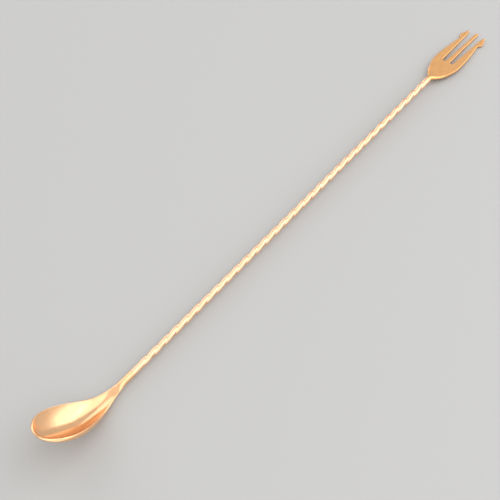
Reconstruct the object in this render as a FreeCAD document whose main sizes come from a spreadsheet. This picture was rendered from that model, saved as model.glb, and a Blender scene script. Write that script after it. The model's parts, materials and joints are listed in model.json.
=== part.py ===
"""Bar spoon with a teardrop bowl, a twisted stem and a three-tined fork.

Three pieces, a pressed bowl, a twisted bar and a forged fork, are butt-welded in line.
X runs along the stem from the bowl towards the fork, Z is up, and Z = 0 is the table that
the spoon lies on, at the heel of its bowl and the tips of its tines.  The origin is at the
middle of the overall length, on the table.
All sizes are in millimetres and all angles in degrees.
"""
import FreeCAD, Part
import math
import os
import re

import Sketcher

# name, value and meaning of each driving dimension
DRIVING_SIZES = [
    ("overall_length", 400.0, "bowl tip to fork tip"),
    ("stem_axis_height", 4.35, "middle of the stem's axis above the table"),
    ("stem_slope", 0.234, "angle that the stem rises at towards the fork"),
    ("stem_diameter", 4.2, "twisted bar, across its two lobes"),
    ("lobe_radius", 1.72, "radius of each lobe of the bar's section"),
    ("twist_lead", 17.25, "length of one full turn of the twist"),
    ("weld_thickness", 0.6, "length of each butt weld"),
    ("bowl_length", 66.9, "bowl weld to bowl tip, along the stem"),
    ("bowl_width", 24.1, "bowl across its rim"),
    ("bowl_depth", 9.2, "rim to underside, measured across the stem"),
    ("bowl_wall", 1.1, "wall of the bowl"),
    ("bowl_floor", 1.4, "floor of the bowl, measured across the stem"),
    ("bowl_tilt", 35.2, "angle that the rim rises at"),
    ("bowl_bend", 25.5, "bowl weld to the bend at the heel of the bowl"),
    ("bend_softness", 6.0, "length that the bend is spread over"),
    ("tip_droop", 2.0, "how far the rim levels off towards the tip"),
    ("bowl_neck_diameter", 4.0, "round neck of the bowl"),
    ("fork_length", 58.7, "fork weld to the tip of the middle tine"),
    ("fork_width", 17.9, "fork across its widest place"),
    ("fork_neck_diameter", 3.7, "narrowest place of the fork's neck"),
    ("shoulder_start", 8.8, "fork weld to where the blade reaches its full thickness"),
    ("shoulder_drop", 1.0, "top of the blade's shoulders below the stem's axis"),
    ("tip_drop", 5.165, "underside of the tips below the stem's axis"),
    ("shoulder_thickness", 1.8, "blade at its shoulders"),
    ("tip_thickness", 1.2, "blade at the tips of the tines"),
    ("slot_width", 2.35, "gap between two tines at the round end of a slot"),
    ("slot_start", 22.7, "fork weld to the round ends of the slots"),
    ("slot_spacing", 5.3, "between the middles of the two slots"),
]

# Where along its length the bowl starts to swell and is deepest and widest, and where the
# hollow starts, all as fractions of the bowl's length.
SWELL_START = 0.10
DEEPEST = 0.67
WIDEST = 0.77
HOLLOW_START = 0.20

doc = FreeCAD.newDocument("BarSpoon")
sheet = doc.addObject("Spreadsheet::Sheet", "Sizes")
for row, (name, value, meaning) in enumerate(DRIVING_SIZES, start=1):
    sheet.set(f"A{row}", meaning)
    sheet.set(f"B{row}", str(value))
    sheet.setAlias(f"B{row}", name)
doc.recompute()

ALIASES = re.compile(r"\b(" + "|".join(name for name, value, meaning in DRIVING_SIZES) + r")\b")


def sized(expression):
    """An expression on the sheet's aliases, as an object outside the sheet writes it."""
    return ALIASES.sub(r"Sizes.\1", expression)


def number(expression):
    return float(sheet.evalExpression(expression))


# ------------------------------------------------------------------ bodies and sketches
def place_on_stem(part, name, along, turn_to_stem=FreeCAD.Rotation()):
    """Name a part and put it on the stem's axis, at a distance from the axis's middle."""
    part.Label = name
    uphill = FreeCAD.Rotation(FreeCAD.Vector(0, -1, 0), number("stem_slope"))
    part.Placement.Rotation = uphill * turn_to_stem
    part.setExpression("Placement.Base.x", sized(f"({along}) * cos(stem_slope)"))
    part.setExpression("Placement.Base.z",
                       sized(f"stem_axis_height + ({along}) * sin(stem_slope)"))


def new_body(name, along):
    """A body whose own X axis lies on the stem's axis."""
    body = doc.addObject("PartDesign::Body", name)
    place_on_stem(body, name, along)
    return body


def new_sketch(body, role, name, offset="0"):
    """A sketch on one of the body's origin planes, moved along the plane's normal."""
    plane = next(item for item in body.Origin.OriginFeatures if item.Role == role)
    sketch = body.newObject("Sketcher::SketchObject", name)
    sketch.AttachmentSupport = [(plane, "")]
    sketch.MapMode = "FlatFace"
    sketch.setExpression("AttachmentOffset.Base.z", sized(offset))
    return sketch


def pin(sketch, geometry, vertex, across=None, up=None):
    """Drive a vertex's distances from the sketch's origin with expressions."""
    for kind, expression in (("DistanceX", across), ("DistanceY", up)):
        if expression is not None:
            constraint = Sketcher.Constraint(kind, -1, 1, geometry, vertex, number(expression))
            index = sketch.addConstraint(constraint)
            sketch.setExpression(f"Constraints[{index}]", sized(expression))


def spot(across, up):
    return FreeCAD.Vector(number(across), number(up), 0)


def draw_outline(sketch, corners):
    """A closed outline through pinned corners, each (across, up) or (across, up, via).

    A corner with a via point is reached by an arc through that point, else by a line.
    """
    edges = []
    for index, corner in enumerate(corners):
        start, end = spot(*corners[index - 1][:2]), spot(*corner[:2])
        if len(corner) == 2:
            edges.append((sketch.addGeometry(Part.LineSegment(start, end)), 1, 2))
            continue
        via = spot(*corner[2])
        edge = sketch.addGeometry(Part.Arc(start, via, end))
        runs_left = (via - start).cross(end - via).z > 0
        edges.append((edge, 1, 2) if runs_left else (edge, 2, 1))
        on_arc = sketch.addGeometry(Part.Point(via), True)
        sketch.addConstraint(Sketcher.Constraint("PointOnObject", on_arc, 1, edge))
        pin(sketch, on_arc, 1, *corner[2])
    for index, corner in enumerate(corners):
        edge, first, last = edges[index]
        following, next_first, next_last = edges[(index + 1) % len(edges)]
        joint = Sketcher.Constraint("Coincident", edge, last, following, next_first)
        sketch.addConstraint(joint)
        pin(sketch, edge, last, *corner[:2])


def lens_section(body, name, along, half_width, level="0", depth="0", crown="0"):
    """A section across the stem of two arcs that meet at half_width on each side.

    The lower arc hangs depth below level, and the upper one rises crown above it.
    """
    sketch = new_sketch(body, "YZ_Plane", name, along)
    left = f"-({half_width})"
    draw_outline(sketch, [
        (half_width, level, ("0", f"({level}) - ({depth})")),
        (left, level, ("0", f"({level}) + ({crown})")),
    ])
    return sketch


def point_section(body, name, along, level):
    """A section that is a single point, where a loft closes."""
    sketch = new_sketch(body, "YZ_Plane", name, along)
    tip = sketch.addGeometry(Part.Point(spot("0", level)))
    pin(sketch, tip, 1, "0", level)
    return sketch


def loft(body, kind, name, sections):
    feature = body.newObject(f"PartDesign::{kind}Loft", name)
    feature.Profile = sections[0]
    feature.Sections = sections[1:]
    return feature


# ------------------------------------------------------------------------------- bowl
def eased(fraction, start, end):
    """A smooth rise from 0 at start to 1 at end."""
    reach = min(max((fraction - start) / (end - start), 0), 1)
    return (1 - math.cos(math.pi * reach)) / 2


def rim_level(distance, fraction):
    """Height of the rim over the stem's axis: level, then rising, then drooping a little."""
    past = f"(({distance}) - bowl_bend)"
    rise = f"({past} + sqrt({past}^2 + bend_softness^2)) / 2"
    before = "(sqrt(bowl_bend^2 + bend_softness^2) - bowl_bend) / 2"
    droop = max((fraction - WIDEST) / (1 - WIDEST), 0) ** 2.5
    return f"tan(bowl_tilt) * ({rise} - {before}) - tip_droop * {droop:.5f}"


def rounded_off(fraction, crest):
    """Falls from 1 at crest to 0 at the tip as an ellipse does."""
    reach = max((fraction - crest) / (1 - crest), 0)
    return math.sqrt(max(1 - reach ** 2, 0))


def bowl_sections(body, name, length, fractions, section_sizes):
    """Sections of a bowl at fractions of a length from the neck towards the tip."""
    sections = []
    for index, fraction in enumerate(fractions):
        distance = f"({length}) * {fraction:.5f}"
        half_width, depth, crown = section_sizes(fraction)
        sections.append(lens_section(body, f"{name}_{index}", f"-({distance})", half_width,
                                     rim_level(distance, fraction), depth, crown))
    tip_level = rim_level(length, 1)
    sections.append(point_section(body, f"{name}_tip", f"-({length})", tip_level))
    return sections


def tip_fractions(count):
    """Fractions past the widest place, closer together towards the rounded tip."""
    angles = [math.pi / 2 * index / count for index in range(count)]
    return [WIDEST + (1 - WIDEST) * math.sin(angle) for angle in angles]


def blank_sizes(fraction):
    """Half width, depth and crown of the solid that the hollow is taken out of."""
    wide = eased(fraction, SWELL_START, WIDEST) * rounded_off(fraction, WIDEST)
    deep = eased(fraction, SWELL_START, DEEPEST) * rounded_off(fraction, DEEPEST)
    neck_left = 1 - eased(fraction, SWELL_START, WIDEST)
    heel_left = 1 - eased(fraction, SWELL_START, DEEPEST)
    roundness = 1 - 0.96 * eased(fraction, SWELL_START, HOLLOW_START)
    half_width = f"bowl_neck_diameter / 2 * {neck_left:.5f} + bowl_width / 2 * {wide:.5f}"
    depth = f"bowl_neck_diameter / 2 * {heel_left:.5f} + bowl_depth * {deep:.5f}"
    return half_width, depth, f"({half_width}) * {roundness:.5f}"


def hollow_sizes(fraction):
    """Half width, depth and height of the hollow, which reaches well above the rim."""
    half_width, depth, crown = blank_sizes(fraction)
    deep = eased(fraction, HOLLOW_START, DEEPEST) * rounded_off(fraction, DEEPEST)
    rounding = rounded_off(fraction, WIDEST)
    return (f"{half_width} - bowl_wall * {rounding:.5f}",
            f"(bowl_depth - bowl_floor) * {deep:.5f}", f"({half_width}) * 0.8")


def make_bowl():
    body = new_body("bowl", "bowl_length - overall_length / 2")
    neck = [0, SWELL_START / 2, SWELL_START, 0.12, 0.17, 0.22, 0.28, 0.35, 0.43, 0.52, 0.61, 0.69]
    blank = bowl_sections(body, "blank", "bowl_length", neck + tip_fractions(6), blank_sizes)
    loft(body, "Additive", "blank_loft", blank)
    doc.recompute()
    scoop = [0.22, 0.25, 0.29, 0.35, 0.43, 0.52, 0.61, 0.69]
    hollow = bowl_sections(body, "hollow", "bowl_length - bowl_wall", scoop + tip_fractions(6),
                           hollow_sizes)
    loft(body, "Subtractive", "hollow_loft", hollow)
    return body


# ------------------------------------------------------------------------------- stem
def make_stem():
    """A bar whose section is two overlapping round lobes, twisted to the left."""
    length = "overall_length - bowl_length - fork_length - 2 * weld_thickness"
    body = new_body("stem", "bowl_length + weld_thickness - overall_length / 2")
    section = new_sketch(body, "YZ_Plane", "stem_section")
    offset = "(stem_diameter / 2 - lobe_radius)"
    waist = f"sqrt(lobe_radius^2 - {offset}^2)"
    draw_outline(section, [
        ("0", waist, ("stem_diameter / 2", "0")),
        ("0", f"-{waist}", ("-stem_diameter / 2", "0")),
    ])
    spine = new_sketch(body, "XZ_Plane", "stem_axis")
    axis = spine.addGeometry(Part.LineSegment(spot("0", "0"), spot(length, "0")))
    pin(spine, axis, 1, "0", "0")
    pin(spine, axis, 2, length, "0")
    guide = doc.addObject("Part::Helix", "twist_guide")
    guide.LocalCoord = "Left-handed"
    guide.setExpression("Pitch", sized("twist_lead"))
    guide.setExpression("Height", sized(length))
    guide.setExpression("Radius", sized("stem_diameter"))
    guide.Placement.Rotation = FreeCAD.Rotation(FreeCAD.Vector(0, 1, 0), 90)
    doc.recompute()
    bar = body.newObject("PartDesign::AdditivePipe", "twisted_bar")
    bar.Profile = section
    bar.Spine = spine
    bar.Mode = "Auxiliary"
    bar.AuxiliarySpine = (guide, [""])
    return body


# ------------------------------------------------------------------------------- fork
# Where the fork's neck has its sections, as a fraction of the fork's length, and for each
# the half width, level, depth and crown.  The last ones are buried in the blade.
FORK_NECK = [
    (0, ("stem_diameter / 2", "0", "stem_diameter / 2", "stem_diameter / 2")),
    (0.03, ("fork_neck_diameter * 0.52", "-shoulder_drop * 0.2", "fork_neck_diameter * 0.5",
            "fork_neck_diameter * 0.49")),
    (0.07, ("fork_neck_diameter * 0.56", "-shoulder_drop * 0.8", "fork_neck_diameter * 0.4",
            "fork_neck_diameter * 0.4")),
    (0.13, ("fork_neck_diameter * 0.7", "-shoulder_drop * 1.6", "fork_neck_diameter * 0.28",
            "fork_neck_diameter * 0.28")),
    (0.22, ("fork_neck_diameter * 0.7", "-shoulder_drop * 2.3", "fork_neck_diameter * 0.12",
            "fork_neck_diameter * 0.12")),
]


def mirrored(corners):
    """The other half of an outline that ends on the middle line, in running order."""
    starts = [corner[:2] for corner in corners]
    vias = [corner[2] if len(corner) == 3 else None for corner in corners]
    half = []
    for index in range(len(corners) - 1, 0, -1):
        along, across = starts[index - 1]
        corner = (along, f"-({across})")
        if vias[index]:
            via_along, via_across = vias[index]
            corner += ((via_along, f"-({via_across})"),)
        half.append(corner)
    return half


def make_fork():
    body = new_body("fork", "overall_length / 2 - fork_length")

    def place(along, across):
        """A point of the outline in fractions of the fork's length and half width."""
        return f"fork_length * {along}", f"fork_width / 2 * {across}"

    slot_inner = "slot_spacing / 2 - slot_width / 2"
    slot_outer = "slot_spacing / 2 + slot_width / 2"
    slot_middle = "slot_spacing / 2"
    slot_round = "slot_start + slot_width / 2"
    right_half = [
        place(0.045, -0.19),
        (*place(0.082, -0.335), place(0.064, -0.235)),
        (*place(0.247, -0.82), place(0.155, -0.60)),
        (*place(0.43, -1.0), place(0.335, -0.965)),
        (*place(0.825, -0.735), place(0.64, -0.905)),
        place(0.853, -0.915),
        (*place(0.893, -0.905), place(0.873, -0.935)),
        (*place(0.962, -0.70), place(0.932, -0.82)),
        (*place(0.964, -0.635), place(0.973, -0.665)),
        (*place(0.85, -0.53), place(0.92, -0.545)),
        (slot_round, f"-({slot_outer})"),
        (slot_round, f"-({slot_inner})", ("slot_start", f"-({slot_middle})")),
        place(0.68, -0.112),
        place(0.982, -0.104),
        ("fork_length", "0", place(0.9952, -0.072)),
    ]
    outline = new_sketch(body, "XY_Plane", "blade_outline", "-tip_drop")
    draw_outline(outline, right_half + mirrored(right_half))
    pad = body.newObject("PartDesign::Pad", "blade")
    pad.Profile = outline
    pad.setExpression("Length", sized("tip_drop"))
    doc.recompute()

    # The side view: the blade tapers from its shoulders down to its tips on the table.
    tip_top = "tip_thickness - tip_drop"
    far = "fork_length * 1.1"
    above = new_sketch(body, "XZ_Plane", "side_view_above")
    draw_outline(above, [
        ("0", "-shoulder_drop / 2"), ("shoulder_start", "-shoulder_drop"),
        ("fork_length", tip_top), (far, tip_top), (far, "tip_drop"), ("0", "tip_drop"),
    ])
    trim_through(body, above, "blade_top")
    below = new_sketch(body, "XZ_Plane", "side_view_below")
    draw_outline(below, [
        ("0", "-shoulder_drop"), ("0", "-2 * tip_drop"), ("fork_length", "-2 * tip_drop"),
        ("fork_length", "-tip_drop"), ("shoulder_start", "-shoulder_drop - shoulder_thickness"),
    ])
    trim_through(body, below, "blade_underside")

    neck = [lens_section(body, f"neck_{index}", f"fork_length * {along}", *radii)
            for index, (along, radii) in enumerate(FORK_NECK)]
    loft(body, "Additive", "neck_loft", neck)
    return body


def trim_through(body, sketch, name):
    """Cut a sketch's area through the body, both ways."""
    pocket = body.newObject("PartDesign::Pocket", name)
    pocket.Profile = sketch
    pocket.Type = "ThroughAll"
    pocket.Midplane = True
    doc.recompute()


# ------------------------------------------------------------------------------ welds
def make_weld(name, along):
    """A butt weld, ground flush with the two necks that it joins."""
    weld = doc.addObject("Part::Cylinder", name)
    weld.setExpression("Radius", sized("stem_diameter / 2"))
    weld.setExpression("Height", sized("weld_thickness"))
    place_on_stem(weld, name, along, FreeCAD.Rotation(FreeCAD.Vector(0, 1, 0), 90))
    return weld


parts = [
    make_bowl(),
    make_weld("bowl_weld", "bowl_length - overall_length / 2"),
    make_stem(),
    make_weld("fork_weld", "overall_length / 2 - fork_length - weld_thickness"),
    make_fork(),
]
doc.recompute()

for item in doc.Objects:
    if "Invalid" in item.State or "Error" in item.State:
        raise RuntimeError(f"{item.Name}: {item.State} {item.getStatusString()}")
for part in parts:
    if part.Shape.isNull() or not part.Shape.isValid() or len(part.Shape.Solids) != 1:
        raise RuntimeError(f"{part.Label} is not one valid solid")
    print(f"{part.Label}: {part.Shape.Volume:.0f} mm3")

os.makedirs("parts", exist_ok=True)
for part in parts:
    part.Shape.exportStep(f"parts/{part.Label}.step")
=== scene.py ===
"""The looks of a copper-plated bar spoon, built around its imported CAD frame.

All lengths are in metres.  Shapes are made in the spoon's own frame: X along the stem's
axis from the bowl to the fork, with the axis at Z = 0.  stand() then sets them on the floor.
"""

import json
import math

import bmesh
import bpy
import numpy as np
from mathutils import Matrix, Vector
from mathutils.geometry import delaunay_2d_cdt


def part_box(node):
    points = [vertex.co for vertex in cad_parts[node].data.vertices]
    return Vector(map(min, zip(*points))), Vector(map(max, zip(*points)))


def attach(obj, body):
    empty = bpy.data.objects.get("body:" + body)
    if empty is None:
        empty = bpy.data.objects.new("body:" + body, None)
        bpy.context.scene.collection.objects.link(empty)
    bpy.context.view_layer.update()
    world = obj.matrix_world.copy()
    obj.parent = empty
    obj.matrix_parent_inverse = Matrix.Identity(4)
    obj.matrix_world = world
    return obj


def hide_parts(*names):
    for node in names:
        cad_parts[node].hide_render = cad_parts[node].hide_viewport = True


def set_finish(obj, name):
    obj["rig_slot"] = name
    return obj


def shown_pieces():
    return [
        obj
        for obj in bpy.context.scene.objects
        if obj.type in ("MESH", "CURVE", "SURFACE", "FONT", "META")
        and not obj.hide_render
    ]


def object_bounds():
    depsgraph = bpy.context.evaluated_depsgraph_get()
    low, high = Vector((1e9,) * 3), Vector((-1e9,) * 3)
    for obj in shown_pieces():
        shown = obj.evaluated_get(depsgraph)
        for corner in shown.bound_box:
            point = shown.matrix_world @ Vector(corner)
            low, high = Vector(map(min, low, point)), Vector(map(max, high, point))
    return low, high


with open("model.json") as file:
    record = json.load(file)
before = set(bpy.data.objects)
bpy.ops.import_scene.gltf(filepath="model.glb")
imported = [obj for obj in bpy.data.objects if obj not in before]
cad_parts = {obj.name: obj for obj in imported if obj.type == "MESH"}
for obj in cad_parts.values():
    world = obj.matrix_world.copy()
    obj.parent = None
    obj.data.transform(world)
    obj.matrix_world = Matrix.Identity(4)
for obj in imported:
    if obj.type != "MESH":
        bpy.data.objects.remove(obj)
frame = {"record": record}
cad_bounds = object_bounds()

MM = 0.001

# ---------------------------------------------------------------- sizes from the CAD frame
bowl_low, bowl_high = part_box("bowl")
stem_low, stem_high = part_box("stem")
fork_low, fork_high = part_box("fork")

# The grip is the one mount, and it gives the stem's thickness and direction.
grip = frame["record"]["mounts"][0]
STEM_RADIUS = grip["dims"]["r_mm"] * MM
STEM_SLOPE = math.asin(grip["axis"][2])
STEM_LENGTH = stem_high.x - stem_low.x
STEM_MIDDLE = (stem_low + stem_high) / 2
AXIS_HEIGHT = STEM_MIDDLE.z - math.sin(STEM_SLOPE) * STEM_MIDDLE.x
BOWL_LENGTH = bowl_high.x - bowl_low.x
BOWL_HALF_WIDTH = (bowl_high.y - bowl_low.y) / 2
FORK_LENGTH = fork_high.x - fork_low.x
FORK_HALF_WIDTH = (fork_high.y - fork_low.y) / 2
NECK_RADIUS = 2.0 * MM

# ------------------------------------------------------------------------ sizes of its own
# The bowl.  Places along it are fractions of its length, from the neck to the tip, and a
# pair of them is where a change begins and ends.  BOWL_BEND is a distance from the neck.
SWELL_START = 0.10
HOLLOW_START = 0.20
DEEPEST = 0.67
HOLLOW_DEEPEST = 0.73
WIDEST = 0.77
BOWL_DEPTH = 9.2 * MM
HOLLOW_DEPTH = 7.0 * MM
BOWL_WALL = 1.1 * MM
BOWL_BEND = 25.5 * MM
BEND_SOFTNESS = 6.0 * MM
BOWL_TILT = math.radians(35.2)
TIP_DROOP = 2.0 * MM
DROOP_POWER = 2.5

# Its rim forms where the solid neck opens.  The rim's edge slopes outward: BEVEL_BELOW
# lowers its outer side, and the rest of the bevel raises its inner side.  The section
# grows from an arc toward an oval where the bowl is widest.
RIM_FORMS = (0.12, 0.30)
RIM_INSET = 0.15 * MM
RIM_BEVEL = 1.7 * MM
BEVEL_BELOW = 0.35 * RIM_BEVEL
BEVEL_GROWS = (0.15, WIDEST)
BEVEL_FADES = 0.85
LIP_ROLL = 0.2 * BOWL_WALL
FULLNESS = 0.3
FULLNESS_GROWS = (0.4, WIDEST)

# The stem's section is two overlapping round lobes, and its two ends are plain round.
# The softness keeps the groove between the lobes from being a sharp crease.  The twist
# begins and ends gradually, over these distances from the stem's two ends.
LOBE_RADIUS = 1.64 * MM
LOBE_OFFSET = STEM_RADIUS - LOBE_RADIUS
GROOVE_SOFTNESS = 0.003
TWIST_LEAD = 17.25 * MM
TWIST_PHASE = 1.2 * MM
TWIST_BEGINS = (3.0 * MM, 11.0 * MM)
TWIST_ENDS = (1.0 * MM, 7.0 * MM)

# The welds are ground to a very low band, which laps a little over both necks.
WELD_LAP = 0.4 * MM
WELD_SINK = 0.06 * MM
WELD_CROWN = 0.09 * MM

# The fork's blade.  Drops are below the stem's axis.
SHOULDER_START = 8.8 * MM
SHOULDER_DROP = 1.9 * MM
TIP_DROP = 4.565 * MM
SHOULDER_THICKNESS = 1.8 * MM
TIP_THICKNESS = 1.2 * MM
SLOT_START = 22.7 * MM
SLOT_CENTRE = 2.65 * MM
SLOT_RADIUS = 1.175 * MM
EDGE_ROUNDING = 0.32 * MM

# Its neck turns from a round bar into the flat blade over these distances from its end.
NECK_DROPS = (0, 1.15 * SHOULDER_START)
NECK_THINS = (0.5 * MM, 1.1 * SHOULDER_START)
EDGE_SHARPENS = (NECK_RADIUS, 1.5 * SHOULDER_START)

# How finely the meshes are divided.  Points nearer than MERGE_DISTANCE become one.
MERGE_DISTANCE = 0.0005 * MM
BODY_RINGS = 150
TIP_RINGS = 60
SWEEP_POINTS = 61
LIP_STEPS = 8
STEM_RINGS = 900
STEM_SIDES = 56
BAND_RINGS = 13
BAND_SIDES = 48
EDGE_RINGS = 6
OUTLINE_STEP = 0.3 * MM
OUTLINE_SMOOTHING = 4
FACE_STEP = 0.45 * MM


# ------------------------------------------------------------------------------- helpers
def stand(points):
    """Points of the spoon's own frame, tilted and lifted to where the spoon rests."""
    x, y, z = np.asarray(points, float).T
    along = x * math.cos(STEM_SLOPE) - z * math.sin(STEM_SLOPE)
    up = x * math.sin(STEM_SLOPE) + z * math.cos(STEM_SLOPE) + AXIS_HEIGHT
    return np.stack([along, y, up], 1)


def make_piece(name, points, faces, node, slot):
    """A smooth closed mesh that stands for a CAD node, inside the CAD model's box."""
    placed = np.clip(stand(points), *cad_bounds)
    mesh = bpy.data.meshes.new(name)
    mesh.from_pydata(placed.tolist(), [], faces)
    form = bmesh.new()
    form.from_mesh(mesh)
    bmesh.ops.remove_doubles(form, verts=form.verts, dist=MERGE_DISTANCE)
    bmesh.ops.recalc_face_normals(form, faces=form.faces)
    for face in form.faces:
        face.smooth = True
    form.to_mesh(mesh)
    form.free()
    piece = bpy.data.objects.new(name, mesh)
    bpy.context.scene.collection.objects.link(piece)
    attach(piece, "root")
    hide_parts(node)
    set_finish(piece, slot)


def eased(value, start, end):
    """A smooth rise from 0 at start to 1 at end."""
    reach = np.clip((value - start) / (end - start), 0, 1)
    return (1 - np.cos(np.pi * reach)) / 2


def rounded_off(value, crest):
    """Stays 1 up to crest, then falls to 0 at 1 as an ellipse does."""
    reach = np.clip((value - crest) / (1 - crest), 0, 1)
    return np.sqrt(1 - reach ** 2)


def blend(start, end, share):
    """What lies between start and end, at a share of the way."""
    return start + (end - start) * share


def tube_faces(rings, around):
    """Quads between closed rings of points, each ring with the same number of points."""
    faces = []
    for ring in range(rings - 1):
        near = ring * around
        far = near + around
        for step in range(around):
            following = (step + 1) % around
            faces.append((near + step, far + step, far + following, near + following))
    return faces


def round_bar(along, angle, radius):
    """Points and faces of a closed bar, from its radius at each place and angle."""
    rings = np.stack([along + 0 * angle, radius * np.cos(angle), radius * np.sin(angle)], 2)
    points = rings.reshape(-1, 3)
    rows, around = rings.shape[:2]
    faces = tube_faces(rows, around)
    faces.append(tuple(range(around)))
    faces.append(tuple(range(len(points) - around, len(points))))
    return points, faces


# ---------------------------------------------------------------------------------- bowl
def rim_level(distance, fraction):
    """Height of the rim over the stem's axis: level, then rising, then drooping a little."""
    past_bend = distance - BOWL_BEND
    rise = (past_bend + math.hypot(past_bend, BEND_SOFTNESS)) / 2
    rise_at_neck = (math.hypot(BOWL_BEND, BEND_SOFTNESS) - BOWL_BEND) / 2
    droop = max((fraction - WIDEST) / (1 - WIDEST), 0) ** DROOP_POWER
    return math.tan(BOWL_TILT) * (rise - rise_at_neck) - TIP_DROOP * droop


def under_depth(fraction, sweep, half_width, depth):
    """How far the bowl's outside hangs below its rim: an arc that fills out to an oval."""
    radius = (half_width ** 2 + depth ** 2) / (2 * depth)
    arc = np.sqrt(np.maximum(radius ** 2 - (sweep * half_width) ** 2, 0)) - (radius - depth)
    oval = depth * np.sqrt(1 - sweep ** 2)
    return blend(arc, oval, FULLNESS * eased(fraction, *FULLNESS_GROWS))


def lip_between(start, end, roll):
    """Points over the rim's rounded edge, between start and end on its two sides."""
    turn = np.linspace(0, math.pi, LIP_STEPS + 1)[1:-1, None]
    square_to_rim = np.array([-math.sin(BOWL_TILT), 0, math.cos(BOWL_TILT)])
    return blend(start, end, (1 - np.cos(turn)) / 2) + 2 * roll * np.sin(turn) * square_to_rim


def bowl_ring(fraction, sweep):
    """The closed section of the bowl at a fraction of its length, as points.

    sweep runs from -1 at one side of the bowl to 1 at the other.
    """
    # The size of the section, from the round neck to the full bowl.
    narrowing = rounded_off(fraction, WIDEST)
    full_width = (BOWL_HALF_WIDTH - RIM_INSET) * narrowing
    half_width = blend(NECK_RADIUS, full_width, eased(fraction, SWELL_START, WIDEST))
    full_depth = BOWL_DEPTH * rounded_off(fraction, DEEPEST)
    depth = blend(NECK_RADIUS, full_depth, eased(fraction, SWELL_START, DEEPEST))

    # The rim's edge.
    rim = eased(fraction, *RIM_FORMS)
    roll = LIP_ROLL * rim
    bevel = eased(fraction, *BEVEL_GROWS) * rounded_off(fraction, BEVEL_FADES)
    lowered = BEVEL_BELOW * bevel
    raised = (RIM_BEVEL - BEVEL_BELOW) * bevel

    # The outer side, which hangs below the rim.
    outer_x = BOWL_LENGTH * fraction
    outer_level = rim_level(outer_x, fraction) - roll - lowered
    hang = under_depth(fraction, sweep, half_width, max(depth - lowered, MERGE_DISTANCE))
    outside = np.stack([np.full_like(sweep, outer_x), sweep * half_width, outer_level - hang], 1)

    # The inner side, where the neck's round crown gives way to the hollow.
    inner_x = outer_x - BOWL_WALL * eased(fraction, RIM_FORMS[1], 1)
    inner_level = rim_level(inner_x, fraction) - roll + raised
    inner_width = half_width - BOWL_WALL * rim * narrowing
    crown = half_width * (1 - eased(fraction, SWELL_START, HOLLOW_START))
    scoop = eased(fraction, HOLLOW_START, HOLLOW_DEEPEST) * rounded_off(fraction, HOLLOW_DEEPEST)
    hollow = (HOLLOW_DEPTH + raised) * scoop
    dish = crown * np.sqrt(1 - sweep ** 2) - hollow * (1 - sweep ** 2)
    inside = np.stack([np.full_like(sweep, inner_x), -sweep * inner_width, inner_level + dish], 1)

    return np.vstack([outside, lip_between(outside[-1], inside[0], roll),
                      inside, lip_between(inside[-1], outside[0], roll)])


def build_bowl():
    """A tube of closed sections, which is capped at the neck and closes up at the tip."""
    tip_turn = np.linspace(0, math.pi / 2, TIP_RINGS)
    fractions = np.concatenate([np.linspace(0, WIDEST, BODY_RINGS, endpoint=False),
                                blend(WIDEST, 1, np.sin(tip_turn))])
    sweep = np.sin(np.linspace(-math.pi / 2, math.pi / 2, SWEEP_POINTS))
    rings = [bowl_ring(fraction, sweep) for fraction in fractions]
    around = len(rings[0])
    points = np.vstack(rings)
    points[:, 0] = bowl_high.x - points[:, 0]
    faces = tube_faces(len(rings), around)
    faces.append(tuple(range(around)))
    make_piece("bowl_shell", points, faces, "bowl", "plated_bowl")


# ---------------------------------------------------------------------------------- stem
def build_stem():
    """The twisted bar.  The angle is counted from a lobe, which turns along the stem."""
    along = np.linspace(0, STEM_LENGTH, STEM_RINGS)[:, None]
    angle = np.linspace(0, 2 * math.pi, STEM_SIDES, endpoint=False)[None, :]
    toward_lobe = LOBE_OFFSET * np.sqrt(np.cos(angle) ** 2 + GROOVE_SOFTNESS)
    lobed = toward_lobe + np.sqrt(LOBE_RADIUS ** 2 - (LOBE_OFFSET * np.sin(angle)) ** 2)
    share = eased(along, *TWIST_BEGINS) * eased(STEM_LENGTH - along, *TWIST_ENDS)
    radius = blend(NECK_RADIUS, np.minimum(lobed, STEM_RADIUS), share)
    turned = angle - 2 * math.pi * (along - TWIST_PHASE) / TWIST_LEAD
    points, faces = round_bar(stem_low.x + along, turned, radius)
    make_piece("twisted_stem", points, faces, "stem", "plated_stem")


# ---------------------------------------------------------------------------------- fork
def arc_through(start, via, end):
    """Points along the circle through three points, from start up to but not at end."""
    first, middle, last = complex(*start), complex(*via), complex(*end)
    ratio = (last - first) / (middle - first)
    centre = first + (middle - first) * (ratio - abs(ratio) ** 2) / (2j * ratio.imag)
    first_part = np.angle((middle - centre) / (first - centre))
    second_part = np.angle((last - centre) / (middle - centre))
    turn = first_part + second_part
    count = max(int(abs(turn) * abs(first - centre) / OUTLINE_STEP), 3)
    spots = centre + (first - centre) * np.exp(1j * turn * np.arange(count) / count)
    return np.stack([spots.real, spots.imag], 1)


def straight(start, end):
    """Points along a straight line, from start up to but not at end."""
    count = max(int(math.dist(start, end) / OUTLINE_STEP), 1)
    shares = np.arange(count)[:, None] / count
    return blend(np.array(start), np.array(end), shares)


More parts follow.
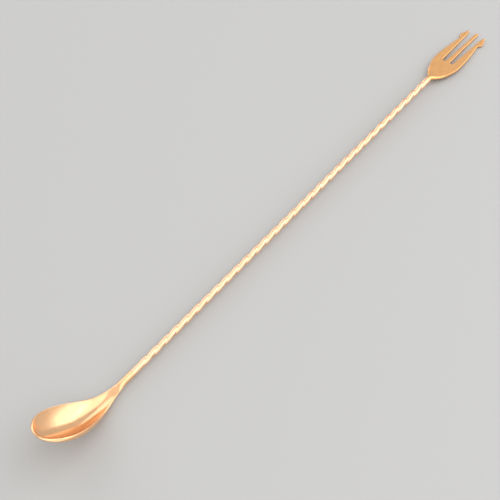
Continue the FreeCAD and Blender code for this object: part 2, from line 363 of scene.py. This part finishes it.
def fork_outline():
    """The blade's outline as (along, across) points: one half, then its mirror image.

    Each corner is the end of a straight line, or of an arc when it has a second point,
    which the arc passes.  The neck starts a little inside the stem.
    """
    def spot(along, across):
        """A point at fractions of the fork's length and half width."""
        return along * FORK_LENGTH, across * FORK_HALF_WIDTH

    slot_middle = SLOT_START + SLOT_RADIUS
    slot_outside = SLOT_CENTRE + SLOT_RADIUS
    slot_inside = SLOT_CENTRE - SLOT_RADIUS
    neck = [
        [spot(-0.05, 0)],
        [spot(-0.05, 0.221)],
        [spot(0.012, 0.221)],
        [spot(0.082, 0.335), spot(0.05, 0.225)],
    ]
    shoulder = [
        [spot(0.247, 0.82), spot(0.155, 0.60)],
        [spot(0.43, 1.0), spot(0.335, 0.965)],
        [spot(0.825, 0.735), spot(0.64, 0.905)],
    ]
    barb = [
        [spot(0.853, 0.915)],
        [spot(0.893, 0.905), spot(0.873, 0.935)],
        [spot(0.958, 0.73), spot(0.932, 0.825)],
        [spot(0.963, 0.60), spot(0.981, 0.66)],
        [spot(0.85, 0.53), spot(0.92, 0.545)],
    ]
    slot = [
        [(slot_middle, slot_outside)],
        [(slot_middle, slot_inside), (SLOT_START, SLOT_CENTRE)],
    ]
    middle_tine = [
        [spot(0.68, 0.112)],
        [spot(0.982, 0.104)],
        [spot(1.0, 0), spot(0.9952, 0.072)],
    ]
    corners = neck + shoulder + barb + slot + middle_tine
    stretches = []
    for (start, *_), (end, *via) in zip(corners, corners[1:]):
        stretches.append(arc_through(start, via[0], end) if via else straight(start, end))
    half = np.vstack(stretches)
    outline = np.vstack([half, corners[-1][0], half[:0:-1] * (1, -1)])
    for _ in range(OUTLINE_SMOOTHING):
        neighbours = np.roll(outline, 1, axis=0) + np.roll(outline, -1, axis=0)
        outline = (neighbours + 2 * outline) / 4
    return outline


def distance_to_outline(points, outline):
    """Distance of each point to the nearest stretch of the outline."""
    nearest = np.full(len(points), np.inf)
    for start, run in zip(outline, np.roll(outline, -1, axis=0) - outline):
        share = np.clip((points - start) @ run / (run @ run), 0, 1)
        gap = np.linalg.norm(points - start - share[:, None] * run, axis=1)
        nearest = np.minimum(nearest, gap)
    return nearest


def is_inside(points, outline):
    """Whether each point lies inside the outline, by counting the edges to its right."""
    x, y = points.T
    crossings = np.zeros(len(points), int)
    for (x1, y1), (x2, y2) in zip(outline, np.roll(outline, -1, axis=0)):
        if y1 != y2:
            spans = (y1 > y) != (y2 > y)
            crossings += spans & (x < x1 + (y - y1) * (x2 - x1) / (y2 - y1))
    return crossings % 2 == 1


def face_points(outline):
    """A staggered grid of points over the blade, clear of its rounded edge."""
    low, high = outline.min(0), outline.max(0)
    xs, ys = np.meshgrid(np.arange(low[0], high[0], FACE_STEP),
                         np.arange(low[1], high[1], FACE_STEP))
    xs[::2] += FACE_STEP / 2
    grid = np.stack([xs.ravel(), ys.ravel()], 1)
    grid = grid[is_inside(grid, outline)]
    return grid[distance_to_outline(grid, outline) > EDGE_ROUNDING + FACE_STEP / 2]


def blade_share(along):
    """How far along the flat blade a place is, from 0 at the shoulder to 1 at the tips."""
    return np.clip((along - SHOULDER_START) / (FORK_LENGTH - SHOULDER_START), 0, 1)


def middle_level(along):
    """Level of the blade's middle plane, which drops from the neck and then to the tips."""
    neck = -SHOULDER_DROP * eased(along, *NECK_DROPS)
    return neck - (TIP_DROP - SHOULDER_DROP) * blade_share(along)


def half_thickness(along, inset, half_width):
    """Half the blade's thickness at an inset from its edge.  The neck is a round bar."""
    blade = blend(SHOULDER_THICKNESS, TIP_THICKNESS, blade_share(along)) / 2
    thick = blend(NECK_RADIUS - WELD_SINK, blade, eased(along, *NECK_THINS))
    sharpness = eased(along, *EDGE_SHARPENS)
    reach = blend(half_width, EDGE_ROUNDING, sharpness)
    drop = blend(thick, EDGE_ROUNDING, sharpness)
    inward = np.clip(inset / reach, 0, 1)
    return thick - drop + drop * np.sqrt(1 - (1 - inward) ** 2)


def build_fork():
    """Two triangulated faces, joined round the edge by rings that step in from the outline."""
    outline = fork_outline()
    tangent = np.roll(outline, -1, axis=0) - np.roll(outline, 1, axis=0)
    tangent /= np.linalg.norm(tangent, axis=1)[:, None]
    inward = np.stack([tangent[:, 1], -tangent[:, 0]], 1)
    insets = EDGE_ROUNDING * (1 - np.cos(np.linspace(0, math.pi / 2, EDGE_RINGS)))
    rings = [outline + inward * inset for inset in insets]

    spots = np.vstack([rings[-1], face_points(outline)])
    border = list(range(len(outline)))
    inside_only = 1
    spots, _, triangles = delaunay_2d_cdt(
        [Vector(spot) for spot in spots], [], [border], inside_only, MERGE_DISTANCE)[:3]
    spots = np.array(spots)

    side_edge = outline[(outline[:, 1] > 0) & (outline[:, 0] < EDGE_SHARPENS[1])]
    side_edge = side_edge[np.argsort(side_edge[:, 0])]

    def at_face(flat, side):
        """Flat points, set at the level of the upper face (side 1) or the lower (-1)."""
        along = flat[:, 0]
        half_width = np.interp(along, *side_edge.T)
        height = half_thickness(along, distance_to_outline(flat, outline), half_width)
        return np.column_stack([flat, middle_level(along) + side * height])

    edge = [at_face(ring, 1) for ring in rings[::-1]] + [at_face(ring, -1) for ring in rings]
    points = np.vstack(edge)
    faces = tube_faces(len(edge), len(outline))
    for side in (1, -1):
        start = len(points)
        points = np.vstack([points, at_face(spots, side)])
        faces += [tuple(start + corner for corner in triangle) for triangle in triangles]
    points[:, 0] += fork_low.x
    make_piece("fork_blade", points, faces, "fork", "plated_fork")


# --------------------------------------------------------------------------------- welds
def build_weld(name, node):
    """A butt weld that is ground flush, as a very low band round the joint."""
    low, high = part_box(node)
    share = np.linspace(0, 1, BAND_RINGS)[:, None]
    along = blend(low.x - WELD_LAP, high.x + WELD_LAP, share)
    angle = np.linspace(0, 2 * math.pi, BAND_SIDES, endpoint=False)[None, :]
    radius = NECK_RADIUS - WELD_SINK + WELD_CROWN * np.sin(np.pi * share)
    points, faces = round_bar(along, angle, radius)
    make_piece(name, points, faces, node, "plated_weld")


build_bowl()
build_stem()
build_fork()
build_weld("bowl_joint", "bowl_weld")
build_weld("fork_joint", "fork_weld")


# ----------------------------------------------------------------------------- materials
# The plating is one colour on the real spoon. These three tints are lit and shaded copies of it,
# each matched to how light falls on its part. The palest, on the stem and welds, is a painted
# highlight that whitens their glints.
COPPER = (0.94, 0.52, 0.22)
ROSE_COPPER = (0.95, 0.58, 0.32)
PAINTED_HIGHLIGHT_COPPER = (0.95, 0.62, 0.40)

# What wear leaves of each colour channel, and how far the roughness varies.
WORN_SHARE = (0.95, 0.90, 0.86)
ROUGHNESS_SPREAD = (0.85, 1.2)

# Scales are in features per metre.  Noise seldom leaves the middle band of its range.
MOTTLE_SCALE = 260
MOTTLE_DETAIL = 3
GRAIN_DETAIL = 4
NOISE_BAND = (0.3, 0.7)
BUMP_STRENGTH = 0.25


def plated(name, colour, roughness, grain_scale, grain_depth):
    """Polished copper plating: fine polishing lines, faint mottling and slight wear.

    grain_scale is how fine the lines are along and across the spoon.
    """
    material = bpy.data.materials.new(name)
    material.use_nodes = True
    nodes = material.node_tree.nodes
    links = material.node_tree.links
    shader = nodes["Principled BSDF"]
    shader.inputs["Metallic"].default_value = 1

    def noise(scale, detail, coordinates):
        texture = nodes.new("ShaderNodeTexNoise")
        texture.inputs["Scale"].default_value = scale
        texture.inputs["Detail"].default_value = detail
        links.new(coordinates, texture.inputs["Vector"])
        return texture.outputs["Fac"]

    along, across = grain_scale
    place = nodes.new("ShaderNodeTexCoord").outputs["Object"]
    stretch = nodes.new("ShaderNodeMapping")
    stretch.inputs["Scale"].default_value = (along, across, across)
    links.new(place, stretch.inputs["Vector"])
    grain = noise(1, GRAIN_DETAIL, stretch.outputs["Vector"])
    mottle = noise(MOTTLE_SCALE, MOTTLE_DETAIL, place)

    tint = nodes.new("ShaderNodeValToRGB")
    worn, fresh = tint.color_ramp.elements
    worn.position, fresh.position = NOISE_BAND
    worn.color = (*(share * channel for share, channel in zip(WORN_SHARE, colour)), 1)
    fresh.color = (*colour, 1)
    links.new(mottle, tint.inputs["Fac"])
    links.new(tint.outputs["Color"], shader.inputs["Base Color"])

    gloss = nodes.new("ShaderNodeMapRange")
    for end, noise_level, spread in zip(("Min", "Max"), NOISE_BAND, ROUGHNESS_SPREAD):
        gloss.inputs["From " + end].default_value = noise_level
        gloss.inputs["To " + end].default_value = roughness * spread
    links.new(grain, gloss.inputs["Value"])
    links.new(gloss.outputs["Result"], shader.inputs["Roughness"])

    bump = nodes.new("ShaderNodeBump")
    bump.inputs["Strength"].default_value = BUMP_STRENGTH
    bump.inputs["Distance"].default_value = grain_depth
    links.new(grain, bump.inputs["Height"])
    links.new(bump.outputs["Normal"], shader.inputs["Normal"])
    return material


# Each has its colour, its roughness, its grain along and across, and the grain's depth. The
# colours are the painted lit and shaded tints above, and the paleness of the stem and the welds
# is painted highlight.
looks = {
    "plated_bowl": plated("polished_copper", ROSE_COPPER, 0.20, (500, 2500), 0.006 * MM),
    "plated_stem": plated("stem_copper_painted_highlight", PAINTED_HIGHLIGHT_COPPER, 0.22, (400, 2500), 0.008 * MM),
    "plated_fork": plated("satin_copper", COPPER, 0.28, (350, 4000), 0.01 * MM),
    "plated_weld": plated("ground_weld_copper_painted_highlight", PAINTED_HIGHLIGHT_COPPER, 0.26, (3000, 900), 0.01 * MM),
}
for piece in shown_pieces():
    piece.data.materials.append(looks[piece["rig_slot"]])


# --------------------------------------------------------------------------------- stage
FLOOR_REACH = 4
FLOOR_COLOUR = (0.43, 0.43, 0.425, 1)
FLOOR_ROUGHNESS = 0.6
BACKDROP_COLOUR = (1.0, 0.99, 0.98, 1)
BACKDROP_STRENGTH = 0.76

# The camera that fits the photograph's view of the spoon.  Angles are in degrees.
CAMERA_PLACE = (-0.3747, -0.2736, 0.5907)
CAMERA_ANGLES = (36.936, -0.105, -51.033)
LENS_MM = 93.67
SENSOR_MM = 36


def build_floor():
    """A plain pale square that the spoon lies on."""
    signs = [(-1, -1), (1, -1), (1, 1), (-1, 1)]
    corners = [(x * FLOOR_REACH, y * FLOOR_REACH, 0) for x, y in signs]
    mesh = bpy.data.meshes.new("floor")
    mesh.from_pydata(corners, [], [(0, 1, 2, 3)])
    floor = bpy.data.objects.new("floor", mesh)
    bpy.context.scene.collection.objects.link(floor)
    paint = bpy.data.materials.new("floor_paint")
    paint.use_nodes = True
    shader = paint.node_tree.nodes["Principled BSDF"]
    shader.inputs["Base Color"].default_value = FLOOR_COLOUR
    shader.inputs["Roughness"].default_value = FLOOR_ROUGHNESS
    mesh.materials.append(paint)


def build_backdrop():
    """An even pale surround, which lights the floor softly and shows in the metal."""
    world = bpy.data.worlds.new("studio")
    world.use_nodes = True
    backdrop = world.node_tree.nodes["Background"]
    backdrop.inputs["Color"].default_value = BACKDROP_COLOUR
    backdrop.inputs["Strength"].default_value = BACKDROP_STRENGTH
    bpy.context.scene.world = world


def softbox(name, place, aim, width, height, brightness):
    """An even rectangular light at place that faces aim, as bright at any size."""
    light = bpy.data.lights.new(name, "AREA")
    light.shape = "RECTANGLE"
    light.size = width
    light.size_y = height
    light.energy = brightness * math.pi * width * height
    lamp = bpy.data.objects.new(name, light)
    lamp.location = place
    lamp.rotation_euler = (Vector(aim) - Vector(place)).to_track_quat("-Z", "Y").to_euler()
    bpy.context.scene.collection.objects.link(lamp)


def build_camera():
    """A long lens beyond the bowl and above it, which looks down along the spoon."""
    lens = bpy.data.cameras.new("camera")
    lens.lens = LENS_MM
    lens.sensor_width = SENSOR_MM
    camera = bpy.data.objects.new("camera", lens)
    camera.location = CAMERA_PLACE
    camera.rotation_euler = [math.radians(angle) for angle in CAMERA_ANGLES]
    bpy.context.scene.collection.objects.link(camera)
    bpy.context.scene.camera = camera


build_floor()
build_backdrop()

# Two panels overhead and three at the sides.  The fork's face mirrors a gap between them.
softbox("near_top", (0.25, -0.75, 1.3), (0.25, -0.75, 0), 3.5, 1.9, 1.0)
softbox("middle_top", (-0.1, 0.7, 1.3), (-0.1, 0.7, 0), 1.8, 1.0, 0.25)
softbox("far_side", (0.35, 1.4, 0.9), (0.35, 0, 0.9), 2.0, 1.6, 0.9)
softbox("right_side", (1.5, -0.9, 0.6), (-0.17, 0, 0.2), 2.3, 1.1, 1.35)
softbox("near_side", (-0.5, -1.9, 0.65), (-0.5, 0, 0.65), 2.6, 1.2, 0.7)

build_camera()
bpy.context.scene.view_settings.view_transform = "Standard"
